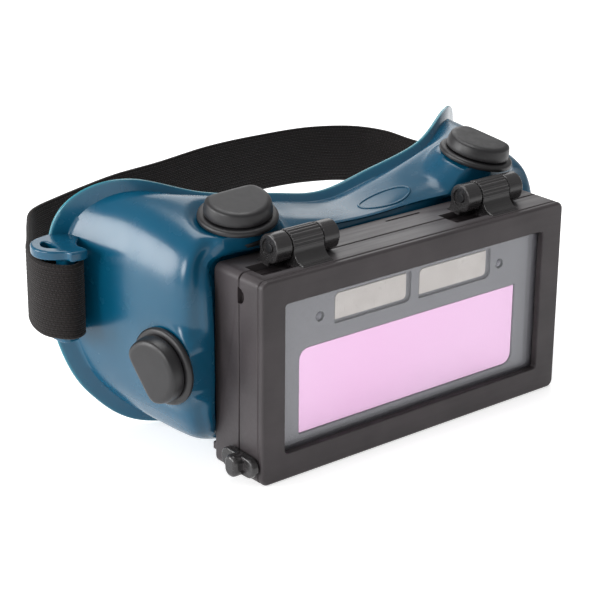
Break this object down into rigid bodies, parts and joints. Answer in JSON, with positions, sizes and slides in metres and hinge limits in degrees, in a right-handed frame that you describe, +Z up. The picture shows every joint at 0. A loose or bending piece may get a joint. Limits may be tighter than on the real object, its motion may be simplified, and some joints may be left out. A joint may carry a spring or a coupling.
{
  "type": "welding goggles",
  "caption": "Soft face mask with an elastic head strap, capped air vents and a rectangular lens holder whose front frame flips up with an auto-darkening filter.",
  "frame": {"origin": "centre of the bounding box in plan, at the bottom of the lens holder", "axes": "+X across the face from the left side of the front view to the right, -Y is the front of the lens holder, +Z is up"},
  "size_m": [0.1884, 0.131, 0.0838],
  "materials": {
    "soft_teal": "glossy translucent soft PVC",
    "black_plastic": "fine satin moulding grain",
    "grey_plastic": "satin",
    "black_rubber": "matte",
    "clear": "polished",
    "filter_pink": "polished interference coating",
    "solar_cell": "glossy",
    "sensor": "glossy",
    "circuit": "solder mask",
    "steel": "bright",
    "webbing": "ribbed woven elastic"
  },
  "bodies": {
    "mask": {"face_mask": "soft_teal", "rear_frame": "black_plastic", "retaining_frame": "black_plastic", "inner_lens": "clear", "inner_lens_gasket": "black_rubber", "lens_retainer": "black_plastic", "hinge_pin_left": "steel", "hinge_pin_right": "steel", "head_strap": "webbing", "vent_base_top_left": "black_rubber", "vent_cap_top_left": "black_rubber", "vent_base_top_right": "black_rubber", "vent_cap_top_right": "black_rubber", "vent_base_side_left": "black_rubber", "vent_cap_side_left": "black_rubber", "vent_base_side_right": "black_rubber", "vent_cap_side_right": "black_rubber"},
    "flip_front": {"front_frame": "black_plastic", "front_cover_lens": "clear", "filter_case": "grey_plastic", "filter_glass": "filter_pink", "filter_rear_glass": "clear", "control_circuit": "circuit", "solar_cell_left": "solar_cell", "solar_cell_right": "solar_cell", "light_sensor_left": "sensor", "light_sensor_right": "sensor", "filter_retainer": "steel"},
    "latch": {"side_latch": "black_plastic"},
    "keeper": {"strap_keeper": "black_plastic"}
  },
  "joints": [
    {"name": "flip_hinge", "type": "hinge", "parent": "mask", "child": "flip_front", "pos_m": [0, -0.0539, 0.069], "axis": [-1, 0, 0], "range_deg": [0, 95]},
    {"name": "latch_turn", "type": "hinge", "parent": "mask", "child": "latch", "pos_m": [-0.061, -0.0525, 0.0058], "axis": [-1, 0, 0], "range_deg": [0, 90]},
    {"name": "keeper_slide", "type": "slide", "parent": "mask", "child": "keeper", "axis": [0.3802, -0.9249, 0], "range_m": [-0.002, 0.002]}
  ]
}
